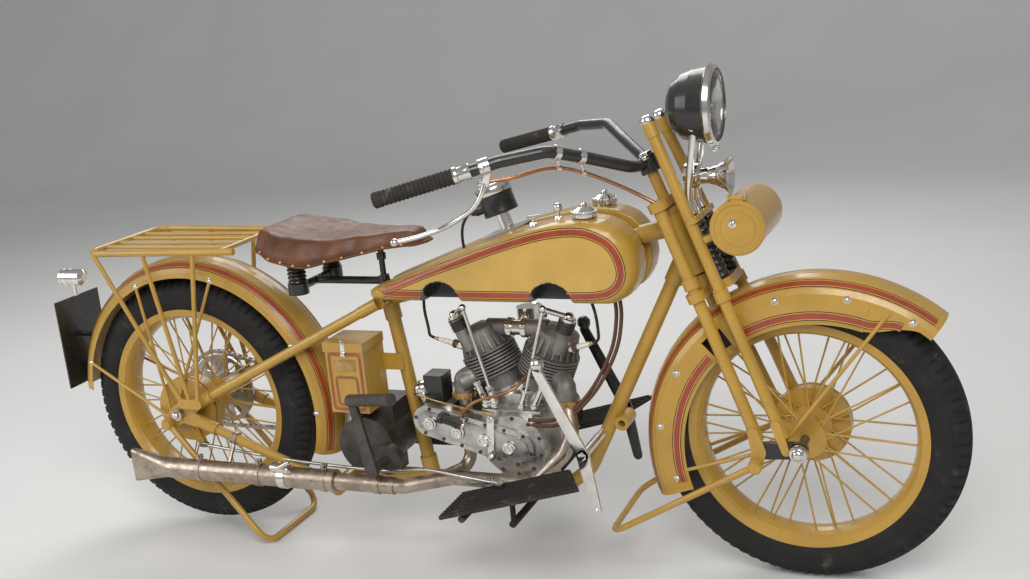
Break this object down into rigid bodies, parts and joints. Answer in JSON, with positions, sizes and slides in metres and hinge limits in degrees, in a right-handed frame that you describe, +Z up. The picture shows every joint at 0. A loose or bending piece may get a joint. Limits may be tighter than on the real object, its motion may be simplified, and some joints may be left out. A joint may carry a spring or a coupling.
{
  "type": "motorcycle",
  "caption": "Vintage solo motorcycle with an air-cooled V-twin engine, sprung fork, wire wheels, valanced fenders, luggage rack and folding stands.",
  "frame": {"origin": "middle of the bounding box, on the floor", "axes": "+X forward, +Y to the rider's left, +Z up"},
  "size_m": [2.2224, 0.7088, 1.09],
  "materials": {
    "yellow_paint": "satin ochre enamel",
    "black_enamel": "gloss black enamel",
    "tyre": "matt rubber",
    "rubber": "matt rubber",
    "nickel": "polished plating",
    "aged_nickel": "aged plating",
    "steel": "bright steel",
    "alloy": "polished aluminium",
    "iron": "grey cast iron",
    "leather": "brown leather",
    "glass": "clear glass"
  },
  "bodies": {
    "chassis": {"steering_head": "yellow_paint", "top_tube": "yellow_paint", "down_tube": "yellow_paint", "seat_tube": "yellow_paint", "rear_stays": "yellow_paint", "axle_lugs": "yellow_paint", "rear_axle": "steel", "tank_right": "yellow_paint", "tank_left": "yellow_paint", "tank_fittings": "nickel", "saddle": "leather", "seat_post": "black_enamel", "battery_box": "yellow_paint", "crankcase": "alloy", "timing_cover": "alloy", "front_cylinder": "iron", "rear_cylinder": "iron", "valve_gear": "nickel", "intake": "nickel", "generator": "black_enamel", "exhaust": "aged_nickel", "gearbox": "iron", "kick_starter": "steel", "primary_cover": "black_enamel", "drive_chain": "steel", "footboard_right": "rubber", "footboard_left": "rubber", "hand_levers": "nickel", "rear_fender": "yellow_paint", "luggage_rack": "yellow_paint", "tail_lamp": "nickel", "number_plate": "black_enamel", "rear_brake": "yellow_paint"},
    "rear_wheel_body": {"rear_tyre": "tyre", "rear_wheel": "yellow_paint", "rear_sprocket": "steel"},
    "fork_body": {"rigid_fork": "yellow_paint", "spring_fork": "yellow_paint", "fork_springs": "black_enamel", "rockers": "black_enamel", "front_fender": "yellow_paint", "handlebar": "black_enamel", "grips": "rubber", "headlamp": "black_enamel", "headlamp_rim": "nickel", "headlamp_lens": "glass", "horn": "nickel", "toolbox": "yellow_paint", "front_brake": "yellow_paint"},
    "front_wheel_body": {"front_tyre": "tyre", "front_wheel": "yellow_paint"},
    "rear_stand_body": {"rear_stand": "yellow_paint"},
    "front_stand_body": {"front_stand": "yellow_paint"},
    "toolbox_lid_body": {"toolbox_lid": "yellow_paint"}
  },
  "joints": [
    {"name": "rear_wheel_spin", "type": "hinge", "parent": "chassis", "child": "rear_wheel_body", "pos_m": [-0.72071, 0, 0.339], "axis": [0, 1, 0], "continuous": true},
    {"name": "steering", "type": "hinge", "parent": "chassis", "child": "fork_body", "pos_m": [0.55175, 0, 0.7322], "axis": [-0.3668, 0, 0.9303], "range_deg": [-32, 32]},
    {"name": "front_wheel_spin", "type": "hinge", "parent": "fork_body", "child": "front_wheel_body", "pos_m": [0.79019, 0, 0.321], "axis": [0, 1, 0], "continuous": true},
    {"name": "rear_stand_fold", "type": "hinge", "parent": "chassis", "child": "rear_stand_body", "pos_m": [-0.75501, 0, 0.31341], "axis": [0, 1, 0], "range_deg": [0, 122]},
    {"name": "front_stand_swing", "type": "hinge", "parent": "fork_body", "child": "front_stand_body", "pos_m": [0.70313, 0, 0.29098], "axis": [0, -1, 0], "range_deg": [0, 92]},
    {"name": "toolbox_lid_hinge", "type": "hinge", "parent": "fork_body", "child": "toolbox_lid_body", "pos_m": [0.68657, -0.093, 0.83647], "axis": [-0.9999, 0, 0.0119], "range_deg": [0, 110]}
  ]
}
